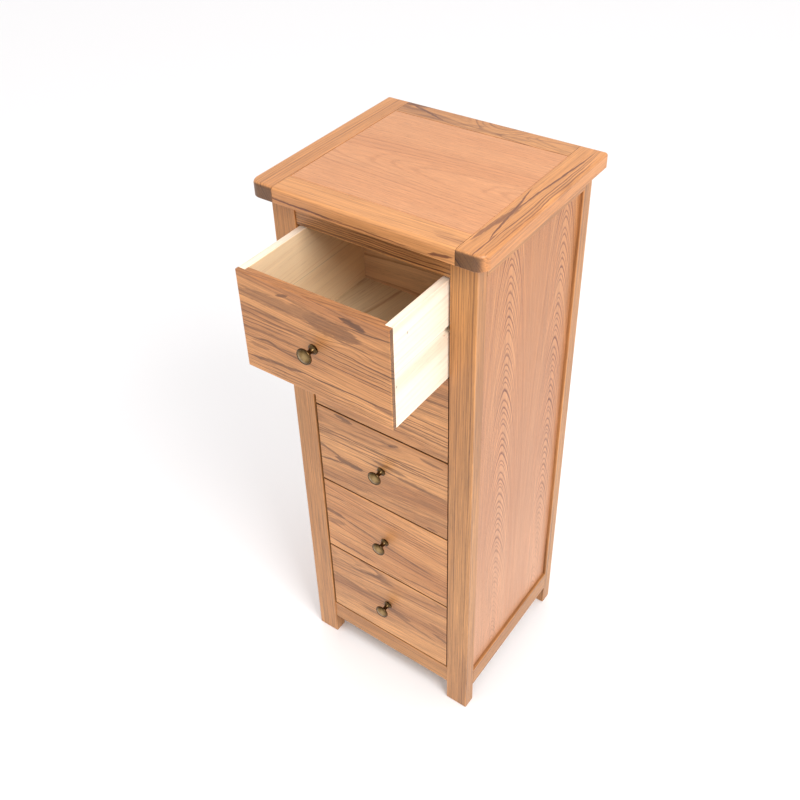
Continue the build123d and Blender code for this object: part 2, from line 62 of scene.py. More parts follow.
class Graph:
    """A thin wrapper that makes and wires shader nodes."""

    def __init__(self, tree):
        self.tree = tree
        tree.nodes.clear()

    def node(self, kind, **settings):
        made = self.tree.nodes.new("ShaderNode" + kind)
        for name, value in settings.items():
            setattr(made, name, value)
        return made

    def put(self, socket, value):
        """Wires a socket to another, or sets its value."""
        if isinstance(value, bpy.types.NodeSocket):
            self.tree.links.new(value, socket)
        else:
            socket.default_value = value

    def math(self, operation, *values, clamp=False):
        made = self.node("Math", operation=operation, use_clamp=clamp)
        for socket, value in zip(made.inputs, values):
            self.put(socket, value)
        return made.outputs[0]

    def vector(self, operation, *values):
        made = self.node("VectorMath", operation=operation)
        for socket, value in zip(made.inputs, values):
            self.put(socket, value)
        return made.outputs["Value" if operation == "LENGTH" else 0]

    def combine(self, x, y, z):
        made = self.node("CombineXYZ")
        for socket, value in zip(made.inputs, (x, y, z)):
            self.put(socket, value)
        return made.outputs[0]

    def separate(self, vector):
        made = self.node("SeparateXYZ")
        self.put(made.inputs[0], vector)
        return made.outputs

    def noise(self, vector, scale, detail=2.0, rough=0.5):
        made = self.node("TexNoise")
        self.put(made.inputs["Vector"], self.vector("MULTIPLY", vector, scale))
        made.inputs["Scale"].default_value = 1.0
        made.inputs["Detail"].default_value = detail
        made.inputs["Roughness"].default_value = rough
        return made.outputs[0]

    def noise_of(self, value):
        """Smooth noise along a single number."""
        made = self.node("TexNoise", noise_dimensions="1D")
        self.put(made.inputs["W"], value)
        made.inputs["Scale"].default_value = 1.0
        made.inputs["Detail"].default_value = 1.0
        return made.outputs[0]

    def span(self, value, low, high, to_low=0.0, to_high=1.0, smooth=True):
        """Maps low..high to to_low..to_high, held at both ends."""
        made = self.node("MapRange", clamp=True)
        made.interpolation_type = "SMOOTHSTEP" if smooth else "LINEAR"
        for socket, given in zip(made.inputs, (value, low, high, to_low, to_high)):
            self.put(socket, given)
        return made.outputs[0]

    def mix(self, share, a, b, blend="MIX"):
        made = self.node("Mix", data_type="RGBA", blend_type=blend)
        self.put(made.inputs[0], share)
        self.put(made.inputs[6], a)
        self.put(made.inputs[7], b)
        return made.outputs[2]


def srgb(r, g, b):
    """A colour given 0 to 255, as a linear RGBA."""
    shares = (c / 255 for c in (r, g, b))
    return (*(((c + 0.055) / 1.055) ** 2.4 if c > 0.04045 else c / 12.92 for c in shares), 1.0)


# ---------------------------------------------------------------- wood

# Each look: its four colours, how far apart the growth rings are in mm, how strong each kind of mark is, and
# how dark end grain is. seam is how dark the seams between leaves are, 0.3 where it isn't given, and even is
# the least strength of a ring's line, 0 where it isn't given.
LOOKS = {
    "frame": dict(
        pale=srgb(198, 140, 85), dark=srgb(168, 111, 63),
        line=srgb(92, 52, 26), streak=srgb(118, 76, 44),
        ring=3.6, rings=0.65, streaks=0.4, fibres=1.0, pores=0.7, tone=0.6, end=0.36,
    ),
    "top": dict(
        pale=srgb(208, 145, 90), dark=srgb(184, 120, 70),
        line=srgb(104, 58, 34), streak=srgb(118, 72, 48),
        ring=6.5, rings=0.85, streaks=0.6, fibres=0.8, pores=0.5, tone=0.6, end=0.72,
    ),
    "veneer": dict(
        pale=srgb(210, 149, 104), dark=srgb(199, 134, 89),
        line=srgb(130, 70, 42), streak=srgb(150, 94, 60),
        ring=3.6, rings=1.0, streaks=0.1, fibres=1.0, pores=0.9, tone=0.6, end=0.3, seam=0.05, even=0.66,
    ),
    "top_veneer": dict(
        pale=srgb(206, 144, 99), dark=srgb(197, 132, 87),
        line=srgb(146, 84, 50), streak=srgb(150, 94, 60),
        ring=3.6, rings=1.0, streaks=0.1, fibres=0.5, pores=0.5, tone=0.6, end=0.3, even=0.45,
    ),
    "front": dict(
        pale=srgb(219, 157, 100), dark=srgb(170, 112, 66),
        line=srgb(94, 52, 28), streak=srgb(90, 53, 29),
        ring=4.4, rings=0.6, streaks=0.6, fibres=1.0, pores=0.7, tone=0.95, end=0.6,
    ),
    "pine": dict(
        pale=srgb(247, 233, 213), dark=srgb(241, 222, 196),
        line=srgb(216, 176, 140), streak=srgb(220, 188, 158),
        ring=9.0, rings=0.35, streaks=0.25, fibres=0.22, pores=0.2, tone=0.45, end=0.2,
    ),
    "floor_ply": dict(
        pale=srgb(234, 211, 174), dark=srgb(220, 192, 148),
        line=srgb(170, 128, 84), streak=srgb(164, 106, 58),
        ring=9.0, rings=0.35, streaks=0.6, fibres=0.3, pores=0.2, tone=0.4, end=0.2,
    ),
    "back": dict(
        pale=srgb(236, 199, 156), dark=srgb(216, 173, 128),
        line=srgb(156, 112, 76), streak=srgb(168, 124, 90),
        ring=6.0, rings=0.6, streaks=0.5, fibres=0.45, pores=0.4, tone=0.5, end=0.3,
    ),
    "runner": dict(
        pale=srgb(206, 160, 110), dark=srgb(176, 126, 80),
        line=srgb(130, 86, 50), streak=srgb(134, 90, 56),
        ring=3.5, rings=0.5, streaks=0.2, fibres=0.4, pores=0.3, tone=0.4, end=0.3,
    ),
}

# For a board that grew along each axis: the axes along the grain, across it and deep into it.
AXES = {"X": (0, 1, 2), "Y": (1, 0, 2), "Z": (2, 0, 1)}

# Noise scales, in waves per metre along the grain and across it.
SLOW_BEND = (3.0, 9.0, 9.0)
RING_EDGE = (60.0, 330.0, 330.0)
RING_PATCH = (4.0, 45.0, 45.0)
HEART_EDGE = (30.0, 330.0, 330.0)
FIBRE = (9.0, 420.0, 420.0)
PORE = (55.0, 1500.0, 1500.0)
TONE = (1.8, 16.0, 16.0)
STREAK_BEND = (11.0, 11.0, 11.0)
STREAK_EDGE = (55.0, 420.0, 1.0)
WORN_PATCH = (38.0, 38.0, 38.0)

# Which way a face looks: from 0 to 1 over these values of its normal.
END_GRAIN = (0.55, 0.95)
GAP_FACE = (0.7, 0.95)
SEALED_FACE = (0.5, 0.9)

# How much each thing darkens or lightens the wood.
FIBRE_DARK, FIBRE_PALE = 0.35, 0.2
PORE_DARK = 0.5
WORN_PALE = 0.14
END_RINGS = 0.5
SEALER = (1.0, 0.86, 0.66, 1.0)

# How much each thing adds to the roughness, and how deep it stands in the bump.
ROUGHER = dict(fibres=0.16, pores=0.12, worn=-0.06)
RELIEF = dict(fibres=0.5, rings=0.35)
BUMP_STRENGTH, BUMP_HEIGHT = 0.35, 0.25 * MM

# Where marks start and stop.
FADE_FROM, FADE_TO = -0.1, -0.7   # ring lines that fade towards a foot, in shares of half the height
WORN_CORE, WORN_RIM = 0.6 * MM, 3.5 * MM
SEAM_CORE, SEAM_RIM = 0.2, 0.9    # half a seam's width, in mm
DOT_SHAPE = (0.5, 1.0, 0.55)
DOT_CORE, DOT_RIM, DOT_DARK = 1.0 * MM, 1.8 * MM, 0.45
STREAK_WANDER = 9 * MM
LEAF_JUMP = 3.7                   # how far along its tree each next leaf was cut, in metres


def growth_group():
    """The node group that turns a place in a tree into rings, streaks, fibres, pores and tone, each 0 to 1.
    The place runs along the grain in x and across it in y and z, in metres, from the middle of the tree."""
    tree = bpy.data.node_groups.new("wood growth", "ShaderNodeTree")
    g = Graph(tree)
    for name in ("Place", "Ring mm", "Wave mm", "Feather mm", "Lift mm", "Heart", "Even"):
        kind = "NodeSocketVector" if name == "Place" else "NodeSocketFloat"
        tree.interface.new_socket(name, in_out="INPUT", socket_type=kind)
    for name in ("Rings", "Streaks", "Fibres", "Pores", "Tone"):
        tree.interface.new_socket(name, in_out="OUTPUT", socket_type="NodeSocketFloat")
    start = tree.nodes.new("NodeGroupInput")
    end = tree.nodes.new("NodeGroupOutput")
    place = start.outputs["Place"]
    # the trunk isn't straight: slow waves along the grain, and a feathery edge to every ring
    slow = g.node("TexNoise")
    g.put(slow.inputs["Vector"], g.vector("MULTIPLY", place, SLOW_BEND))
    slow.inputs["Scale"].default_value = 1.0
    slow.inputs["Detail"].default_value = 2.0
    offset = g.vector("SUBTRACT", slow.outputs["Color"], (0.5, 0.5, 0.5))
    wave = g.math("MULTIPLY", start.outputs["Wave mm"], MM)
    moved = g.vector("ADD", place, g.vector("MULTIPLY", offset, g.combine(0.0, wave, wave)))
    parts = g.separate(moved)
    radius = g.vector("LENGTH", g.combine(0.0, parts[1], parts[2]))
    feather = g.math("SUBTRACT", g.noise(place, RING_EDGE, 2.0), 0.5)
    feather = g.math("MULTIPLY", feather, g.math("MULTIPLY", start.outputs["Feather mm"], MM))
    radius = g.math("ADD", g.math("ADD", radius, feather), g.math("MULTIPLY", start.outputs["Lift mm"], MM))
    # rings differ in width and in strength from year to year
    years = g.math("DIVIDE", radius, g.math("MULTIPLY", start.outputs["Ring mm"], MM))
    years = g.math("ADD", years, g.math("MULTIPLY", g.noise_of(g.math("MULTIPLY", years, 0.37)), 2.2))
    phase = g.math("FRACT", years)
    line = g.math("MULTIPLY", g.span(phase, 0.0, 0.08), g.span(phase, 0.18, 0.5, 1.0, 0.0))
    luck = g.node("TexWhiteNoise", noise_dimensions="1D")
    g.put(luck.inputs["W"], g.math("FLOOR", years))
    strength = g.math("MULTIPLY_ADD", g.math("POWER", luck.outputs[0], 1.4), 0.85, 0.2)
    cluster = g.span(g.noise_of(g.math("MULTIPLY_ADD", years, 0.19, 40.0)), 0.36, 0.6, 0.35, 1.0)
    comes_and_goes = g.span(g.noise(moved, RING_PATCH, 2.0), 0.3, 0.5, 0.5, 1.0)
    strength = g.math("MULTIPLY", strength, g.math("MULTIPLY", cluster, comes_and_goes))
    strength = g.math("MAXIMUM", strength, start.outputs["Even"])
    late = g.math("MULTIPLY", g.span(phase, 0.1, 1.0, 0.2, 0.0, smooth=False), luck.outputs[0])
    ring = g.math("ADD", g.math("MULTIPLY", line, strength), late, clamp=True)
    # dark heartwood follows some rings and not others, with ragged sharp edges
    heart = g.node("TexNoise")
    heart_place = g.combine(parts[0], years, parts[2])
    g.put(heart.inputs["Vector"], g.vector("MULTIPLY", heart_place, (3.1, 0.26, 5.0)))
    heart.inputs["Scale"].default_value = 1.0
    heart.inputs["Detail"].default_value = 4.0
    heart.inputs["Distortion"].default_value = 0.5
    rough_edge = g.math("MULTIPLY", g.math("SUBTRACT", g.noise(moved, HEART_EDGE, 3.0, 0.6), 0.5), 0.14)
    dark = g.math("ADD", g.math("ADD", heart.outputs[0], start.outputs["Heart"]), rough_edge)
    streaks = g.math("MULTIPLY", g.span(dark, 0.57, 0.63), 0.6)
    streaks = g.math("ADD", streaks, g.math("MULTIPLY", g.span(dark, 0.5, 0.74), 0.4))
    streaks = g.math("MULTIPLY", streaks, g.math("MULTIPLY_ADD", line, 0.35, 0.65))
    fibres = g.noise(moved, FIBRE, 4.0, 0.62)
    dashes = g.noise(moved, PORE, 1.0)
    pores = g.math("MULTIPLY", g.span(dashes, 0.56, 0.68), g.math("MULTIPLY_ADD", line, 0.7, 0.3))
    tone = g.noise(moved, TONE, 2.0)
    for socket, value in zip(end.inputs, (ring, streaks, fibres, pores, tone)):
        g.put(socket, value)
    return tree


def mineral_group():
    """The node group for one dark mineral streak: a sheet that follows the grain, ragged, with pointed
    ends. Along, Across and Wander are in metres, and the streak's own lengths are in mm."""
    tree = bpy.data.node_groups.new("mineral streak", "ShaderNodeTree")
    g = Graph(tree)
    names = ["Along", "Across", "Wander", "Ragged"]
    names += ["Centre", "Level", "Lean", "Half length", "Half width", "Strength"]
    for name in names:
        tree.interface.new_socket(name, in_out="INPUT", socket_type="NodeSocketFloat")
    tree.interface.new_socket("Dark", in_out="OUTPUT", socket_type="NodeSocketFloat")
    start = tree.nodes.new("NodeGroupInput")
    end = tree.nodes.new("NodeGroupOutput")
    along, across, wander, ragged = (start.outputs[n] for n in names[:4])
    centre, level, lean, length, width, strength = (start.outputs[n] for n in names[4:])
    beyond = g.math("SUBTRACT", along, g.math("MULTIPLY", centre, MM))
    sheet = g.math("ADD", g.math("MULTIPLY", level, MM), g.math("MULTIPLY_ADD", beyond, lean, wander))
    share = g.math("DIVIDE", g.math("ABSOLUTE", beyond), g.math("MULTIPLY", length, MM))
    taper = g.span(g.math("MULTIPLY_ADD", ragged, 0.25, share), 0.35, 1.0, 1.0, 0.02)
    away = g.math("ABSOLUTE", g.math("SUBTRACT", across, sheet))
    away = g.math("DIVIDE", away, g.math("MULTIPLY", g.math("MULTIPLY", width, MM), taper))
    core = g.span(g.math("MULTIPLY_ADD", ragged, 1.6, away), 0.5, 0.95, 1.0, 0.0)
    strength = g.math("MULTIPLY", strength, g.math("MULTIPLY_ADD", ragged, 0.9, 1.15))
    strength = g.math("MULTIPLY", strength, g.span(share, 0.7, 1.0, 1.0, 0.0))
    g.put(end.inputs[0], g.math("MULTIPLY", core, strength))
    return tree


GROWTH = growth_group()
MINERAL = mineral_group()


def knot_lift(g, local, knots):
    """How far the knots push the rings up around them, in mm, at a place in the board. Each knot is its
    centre, half its length, half its width and its height, all in mm."""
    lift = 0.0
    for centre, length, width, height in knots:
        away = g.vector("SUBTRACT", local, tuple(c * MM for c in centre))
        away = g.vector("MULTIPLY", away, (1 / (length * MM), 1 / (width * MM), 1 / (width * MM)))
        lift = g.math("ADD", lift, g.span(g.vector("LENGTH", away), 0.0, 1.0, height, 0.0))
    return lift


def mineral_streaks(g, local, along, across, minerals):
    """All of a board's mineral streaks together. Each is where its middle lies along and across the grain,
    in mm from the board's middle, its lean, half its length and half its width in mm, and its strength."""
    wander = g.math("MULTIPLY", g.math("SUBTRACT", g.noise(local, STREAK_BEND, 2.0), 0.5), STREAK_WANDER)
    ragged = g.math("SUBTRACT", g.noise(g.combine(along, across, 0.0), STREAK_EDGE, 3.0, 0.6), 0.5)
    dark = 0.0
    for facts in minerals:
        streak = g.node("Group")
        streak.node_tree = MINERAL
        for socket, value in zip(streak.inputs, (along, across, wander, ragged, *facts)):
            g.put(socket, value)
        dark = g.math("MAXIMUM", dark, streak.outputs[0])
    return dark


@dataclass
class Board:
    """How one board grew, and how it looks now."""

    name: str                  # its CAD node
    look: str                  # its entry in LOOKS
    grain: str                 # the axis that it grew along
    pith: tuple                # the tree's middle, from the board's middle, in mm along the other two axes
    slope: tuple = (0.0, 0.0)  # how the pith leans along the board, in the same two axes
    wave: float = 8.0          # how far the rings wander, in mm
    feather: float = 0.8       # how ragged each ring's edge is, in mm
    ring: float = 1.0          # the width of its rings, times the look's
    heart: float = 0.0         # more or less dark heartwood
    shade: float = 1.0         # lighter or darker
    warmth: float = 0.0        # redder or yellower
    gloss: float = 0.36        # roughness before fibres, pores and wear change it
    marks: float = 1.0         # the strength of its ring lines, times the look's
    cone: float = 0.0          # how many mm a ring's radius shrinks in a mm of height: this makes arches
    spread: float = None       # rings crowd together beyond this far from the pith, in mm: steep arch legs
    fade: float = 1.0          # the share of its ring lines' strength that is left at its foot
    tones: tuple = None        # painted light: what its colour is multiplied by at its foot, paler where the floor throws light up, and at its head
    rims: float = 0.0          # painted shade on its edge faces, which stand in the gap around a drawer: how dark it is
    knots: tuple = ()          # as knot_lift takes them
    minerals: tuple = None     # the axis that the streaks' level is told along, and the streaks
    leaves: tuple = None       # the axis, width and shift in mm of boards or veneers laid side by side
    dots: tuple = ()           # small dark flecks, in metres from the board's middle
    sealed: tuple = None       # the axis and the direction of a face that has a coat of sealer


def split_leaves(g, parts, leaves):
    """The place inside one leaf, the leaf's number, and 1 along the seams between leaves."""
    if not leaves:
        return parts, 0.0, 0.0
    axis, width, shift = leaves
    count = g.math("DIVIDE", g.math("ADD", parts[axis], shift * MM), width * MM)
    inside = g.math("MULTIPLY", g.math("SUBTRACT", g.math("FRACT", count), 0.5), width * MM)
    seam = g.span(g.math("ABSOLUTE", inside), (width / 2 - SEAM_RIM) * MM, (width / 2 - SEAM_CORE) * MM)
    return [inside if i == axis else parts[i] for i in range(3)], g.math("FLOOR", count), seam


def grow(g, board, style, parts, leaf):
    """The growth group's outputs over one board: rings, streaks, fibres, pores and tone."""
    along, across, deep = (parts[i] for i in AXES[board.grain])
    knots = knot_lift(g, g.combine(along, across, deep), board.knots)
    lift = g.math("MULTIPLY_ADD", along, board.cone / MM, knots)
    across = g.math("SUBTRACT", across, g.math("MULTIPLY_ADD", along, board.slope[0], board.pith[0] * MM))
    deep = g.math("SUBTRACT", deep, g.math("MULTIPLY_ADD", along, board.slope[1], board.pith[1] * MM))
    if board.spread:
        steeper = g.math("MULTIPLY_ADD", g.math("POWER", deep, 2.0), (board.spread * MM) ** -2, 1.0)
        deep = g.math("MULTIPLY", deep, steeper)
    cut_at = random.Random(board.name).uniform(2, 30)
    along = g.math("ADD", along, g.math("MULTIPLY_ADD", leaf, LEAF_JUMP, cut_at))
    growth = g.node("Group")
    growth.node_tree = GROWTH
    place = g.combine(along, across, deep)
    ring = style["ring"] * board.ring
    even = style.get("even", 0.0)
    facts = (place, ring, board.wave, board.feather, lift, board.heart, even)
    for socket, value in zip(growth.inputs, facts):
        g.put(socket, value)
    return growth.outputs


def stain(g, board, style, grown, minerals, height, half, end):
    """The board's colour from its tone, streaks and ring lines. height is measured from its middle."""
    rings, streaks, _, _, tone = grown
    keys = ("pale", "dark", "line", "streak")
    pale, dark, line, streak = (tint(style[key], board.shade, board.warmth) for key in keys)
    colour = g.mix(g.math("MULTIPLY", g.span(tone, 0.3, 0.7), style["tone"]), pale, dark)
    minerals = g.math("MULTIPLY", minerals, g.math("SUBTRACT", 1.0, end))
    streaks = g.math("MAXIMUM", g.math("MULTIPLY", streaks, style["streaks"]), minerals)
    colour = g.mix(streaks, colour, streak)
    marks = style["rings"] * board.marks
    if board.fade < 1.0:
        marks = g.span(height, FADE_TO * half[2], FADE_FROM * half[2], marks * board.fade, marks)
    strong = g.math("MULTIPLY_ADD", end, END_RINGS, marks, clamp=True)
    return g.mix(g.math("MULTIPLY", rings, strong), colour, line)


def light_and_dark(g, board, style, grown, local, normal, seam, worn, end):
    """What the colour is multiplied by for fibres, pores, end grain, wear, seams, flecks, and the painted
    shade in the gaps around a drawer.
    """
    _, _, fibres, pores, _ = grown
    fibre = (1 - FIBRE_DARK * style["fibres"], 1 + FIBRE_PALE * style["fibres"])
    light = g.span(fibres, 0.3, 0.7, *fibre, smooth=False)
    light = g.math("MULTIPLY", light, g.math("MULTIPLY_ADD", pores, -PORE_DARK * style["pores"], 1.0))
    # end grain drinks the finish and goes darker, and arrises are rubbed paler
    light = g.math("MULTIPLY", light, g.math("MULTIPLY_ADD", end, -style["end"], 1.0))
    light = g.math("MULTIPLY", light, g.math("MULTIPLY_ADD", worn, WORN_PALE, 1.0))
    light = g.math("MULTIPLY", light, g.math("SUBTRACT", 1.0, seam))
    for centre in board.dots:
        away = g.vector("LENGTH", g.vector("MULTIPLY", g.vector("SUBTRACT", local, centre), DOT_SHAPE))
        light = g.math("MULTIPLY", light, g.span(away, DOT_CORE, DOT_RIM, DOT_DARK, 1.0))
    # painted shade: faces that are shut away in the gap around a drawer are darkened here
    gap_shade_mask = g.math("MAXIMUM", g.math("ABSOLUTE", normal[0]), g.math("ABSOLUTE", normal[2]))
    return g.math("MULTIPLY", light, g.span(gap_shade_mask, *GAP_FACE, 1.0, 1.0 - board.rims))


def wood(*facts, **more):
    """Gives a CAD node its lacquered or bare wood. The arguments are a Board's."""
    board = Board(*facts, **more)
    style = LOOKS[board.look]
    low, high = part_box(board.name)
    half = (high - low) / 2
    material = bpy.data.materials.new(board.name)
    material.use_nodes = True
    g = Graph(material.node_tree)
    local = g.vector("SUBTRACT", g.node("TexCoord").outputs["Object"], tuple((low + high) / 2))
    normal = g.separate(g.node("NewGeometry").outputs["Normal"])
    parts, leaf, seam = split_leaves(g, g.separate(local), board.leaves)
    seam = g.math("MULTIPLY", seam, style.get("seam", 0.3))
    lengthwise = AXES[board.grain][0]
    end = g.span(g.math("ABSOLUTE", normal[lengthwise]), *END_GRAIN)
    worn = edge_wear(g, local, half)
    minerals = 0.0
    if board.minerals:
        axis, streaks = board.minerals
        minerals = mineral_streaks(g, local, parts[lengthwise], parts[axis], streaks)
    grown = grow(g, board, style, parts, leaf)
    rings, _, fibres, pores, _ = grown
    colour = stain(g, board, style, grown, minerals, parts[2], half, end)
    light = light_and_dark(g, board, style, grown, local, normal, seam, worn, end)
    colour = g.mix(1.0, colour, g.combine(light, light, light), "MULTIPLY")
    # painted light: the colour runs from paler and cooler at the foot to browner at the head
    if board.tones:
        foot, head = ((*share, 1.0) for share in board.tones)
        height = g.span(parts[2], -half[2], half[2], smooth=False)
        colour = g.mix(1.0, colour, g.mix(height, foot, head), "MULTIPLY")
    if board.sealed:
        axis, way = board.sealed
        coat = g.span(g.math("MULTIPLY", normal[axis], way), *SEALED_FACE)
        colour = g.mix(coat, colour, SEALER, "MULTIPLY")
    shader = g.node("BsdfPrincipled")
    g.put(shader.inputs["Base Color"], colour)
    rough = g.math("MULTIPLY_ADD", fibres, ROUGHER["fibres"], board.gloss - 0.05)
    rough = g.math("MULTIPLY_ADD", worn, ROUGHER["worn"], rough)
    g.put(shader.inputs["Roughness"], g.math("MULTIPLY_ADD", pores, ROUGHER["pores"], rough))
    bump = g.node("Bump")
    bump.inputs["Strength"].default_value = BUMP_STRENGTH
    bump.inputs["Distance"].default_value = BUMP_HEIGHT
    relief = g.math("SUBTRACT", g.math("MULTIPLY", fibres, RELIEF["fibres"]), pores)
    relief = g.math("SUBTRACT", relief, g.math("MULTIPLY", rings, RELIEF["rings"]))
    g.put(bump.inputs["Height"], g.math("SUBTRACT", relief, seam))
    g.put(shader.inputs["Normal"], bump.outputs[0])
    g.put(g.node("OutputMaterial").inputs[0], shader.outputs[0])
    dress(board.name, material)


def edge_wear(g, local, half):
    """1 at a board's arrises, 0 away from them, in ragged patches."""
    gaps = g.separate(g.vector("SUBTRACT", tuple(half), g.vector("ABSOLUTE", local)))
    least = g.math("MINIMUM", g.math("MINIMUM", gaps[0], gaps[1]), gaps[2])
    most = g.math("MAXIMUM", g.math("MAXIMUM", gaps[0], gaps[1]), gaps[2])
    total = g.math("ADD", g.math("ADD", gaps[0], gaps[1]), gaps[2])
    middle = g.math("SUBTRACT", g.math("SUBTRACT", total, least), most)
    patches = g.noise(local, WORN_PATCH, 3.0)
    near = g.span(middle, WORN_CORE, WORN_RIM, 1.0, 0.0)
    return g.math("MULTIPLY", near, g.span(patches, 0.38, 0.62, 0.2, 1.0))


def tint(colour, shade, warmth):
    """A colour made lighter or darker, and redder or yellower."""
    red, green, blue = (c * shade for c in colour[:3])
    return (red * (1 + 0.3 * warmth), green, blue * (1 - 0.6 * warmth), 1.0)


def dress(name, material):
    """Gives a CAD node its material."""
    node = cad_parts[name]
    node.data.materials.clear()
    node.data.materials.append(material)


# ---------------------------------------------------------------- metal

BRASS_SHINE = (srgb(140, 110, 64), srgb(160, 134, 92))
BRASS_PATINA = (srgb(72, 54, 32), srgb(96, 74, 46))
STEEL = (srgb(168, 166, 160), srgb(206, 205, 200))


def brass(name):
    """Antiqued brass: rubbed bright where it faces out, in a cloud, and dark with patina elsewhere."""
    low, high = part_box(name)
    middle = (low + high) / 2
    material = bpy.data.materials.new(name)
    material.use_nodes = True
    g = Graph(material.node_tree)
    local = g.vector("SUBTRACT", g.node("TexCoord").outputs["Object"], tuple(middle))
    outward = g.math("MULTIPLY", g.separate(g.node("NewGeometry").outputs["Normal"])[1], -1.0)
    cloud = g.noise(local, (60.0, 60.0, 60.0), 3.0, 0.5)
    grit = g.noise(local, (2200.0, 2200.0, 2200.0), 2.0)
    rubbed = g.math("MULTIPLY", g.span(outward, 0.9, 0.99), g.span(cloud, 0.3, 0.6, 0.45, 1.0))
    shine = g.mix(g.span(cloud, 0.36, 0.62), *BRASS_SHINE)
    patina = g.mix(g.span(cloud, 0.4, 0.6), *BRASS_PATINA)
    shader = g.node("BsdfPrincipled")
    g.put(shader.inputs["Base Color"], g.mix(rubbed, patina, shine))
    shader.inputs["Metallic"].default_value = 1.0
    g.put(shader.inputs["Roughness"], g.math("MULTIPLY_ADD", grit, 0.1, 0.2))
    g.put(g.node("OutputMaterial").inputs[0], shader.outputs[0])
    dress(name, material)


def steel(name):
    """Zinc-plated steel, brighter and duller in fine patches."""
    material = bpy.data.materials.new(name)
    material.use_nodes = True
    g = Graph(material.node_tree)
    place = g.node("TexCoord").outputs["Object"]
    cloud = g.noise(place, (300.0, 300.0, 300.0), 3.0)
    shader = g.node("BsdfPrincipled")
    g.put(shader.inputs["Base Color"], g.mix(cloud, *STEEL))
    shader.inputs["Metallic"].default_value = 1.0
    g.put(shader.inputs["Roughness"], g.math("MULTIPLY_ADD", cloud, 0.2, 0.22))
    g.put(g.node("OutputMaterial").inputs[0], shader.outputs[0])
    dress(name, material)


# ---------------------------------------------------------------- every board

# Painted light on the front posts: paler and cooler at the foot, where the white floor throws light up, and
# a little browner at the head.
POST_PAINTED_LIGHT = ((1.02, 1.04, 1.12), (0.95, 0.92, 0.84))
# Mineral streaks, as mineral_streaks takes them.
FRONT_RAIL_STREAKS = [
    (0, 0, 0.0, 220, 1.2, 0.7), (-40, -5, 0.0, 200, 1.0, 0.8), (30, -9, 0.0, 210, 1.3, 0.8),
    (-20, -13, 0.0, 200, 1.0, 0.7), (0, -17, 0.0, 220, 1.6, 0.8), (60, 6, 0.0, 120, 1.0, 0.5),
]


def dress_frame():
    wood("front_left_post", "frame", "Z", (-120, 60), wave=5, shade=1.06, tones=POST_PAINTED_LIGHT)
    wood("front_right_post", "frame", "Z", (150, 90), (0.004, 0.0), wave=5, tones=POST_PAINTED_LIGHT)
    wood("back_left_post", "frame", "Z", (-140, -60), wave=5)
    wood("back_right_post", "frame", "Z", (120, -80), wave=5, shade=1.02)
    streaks = (2, FRONT_RAIL_STREAKS)
    wood("front_upper_rail", "frame", "X", (30, -70), (0.0, 0.02), ring=1.3, minerals=streaks)
    wood("front_lower_rail", "frame", "X", (50, 70), (0.0, 0.01), shade=1.05, heart=-0.1)
    wood("back_upper_rail", "frame", "X", (-60, 50))
    wood("back_lower_rail", "frame", "X", (-90, -40))
    for side, way in (("left", -1), ("right", 1)):
        wood(f"{side}_upper_rail", "frame", "Y", (way * -70, 40))
        wood(f"{side}_lower_rail", "frame", "Y", (way * -90, -50))


RIGHT_BOARD_STREAKS = [
    (60, -1, 0.075, 140, 2.4, 0.8), (-65, -9, -0.13, 105, 2.4, 0.85), (-105, -15, 0.08, 70, 5.0, 0.65),
    (-70, -10, 0.02, 45, 7.0, 0.6), (-10, 9, 0.01, 200, 1.4, 0.7), (20, 14, 0.0, 210, 1.4, 0.6),
    (0, 19, 0.0, 200, 1.3, 0.65), (-170, 3, 0.02, 60, 1.8, 0.7),
]
BACK_RAIL_STREAKS = [
    (-125, 2, -0.34, 62, 4.0, 0.8), (-165, 16, 0.0, 40, 8, 0.45), (-30, -8, 0.3, 45, 6.0, 0.35),
    (40, -14, 0.06, 80, 4.0, 0.35), (115, 4, 0.12, 75, 2.5, 0.35),
]
FRONT_BOARD_STREAKS = [
    (-130, -5, -0.02, 120, 2.4, 0.95), (10, -9, 0.0, 110, 1.6, 0.7), (150, -6, 0.2, 26, 3.5, 0.8),
]


def dress_top():
    wood(
        "top_left_board", "top", "Y", (-90, -60), (0.01, 0.0),
        ring=0.75, marks=0.75, warmth=0.06, heart=-0.05,
    )
    wood(
        "top_right_board", "top", "Y", (-70, -50), (0.02, 0.0), wave=6,
        ring=0.75, marks=0.6, warmth=0.06, heart=-0.06, minerals=(0, RIGHT_BOARD_STREAKS),
    )
    wood(
        "top_front_rail", "top", "X", (-70, -70), (0.01, 0.0), shade=1.05,
        ring=0.8, marks=0.4, warmth=0.02, heart=-0.1, minerals=(2, FRONT_BOARD_STREAKS),
    )
    wood(
        "top_back_rail", "top", "X", (10, -30), (0.02, 0.05), wave=24, shade=0.92,
        ring=0.7, marks=0.6, heart=0.06, knots=[((30, 20, 10), 80, 40, 26)], minerals=(1, BACK_RAIL_STREAKS),
    )
    wood(
        "top_panel", "top_veneer", "X", (-18, -40), (0.0, 0.07), wave=12, feather=0.3, shade=1.02,
        ring=1.5, marks=0.3, knots=[((-110, -16, 10), 60, 30, 4), ((90, -16, 10), 80, 26, 5)],
    )


# The side panels get painted light the same way, paler and cooler at the foot and browner at the head, and
# are two leaves of veneer each. The back panel is three boards.
PANEL_PAINTED_LIGHT = ((1.03, 1.13, 1.38), (0.89, 0.84, 0.68))
VENEER_LEAVES = (1, 181.0, 165.5)
BACK_LEAVES = (0, 160.0, 80.0)


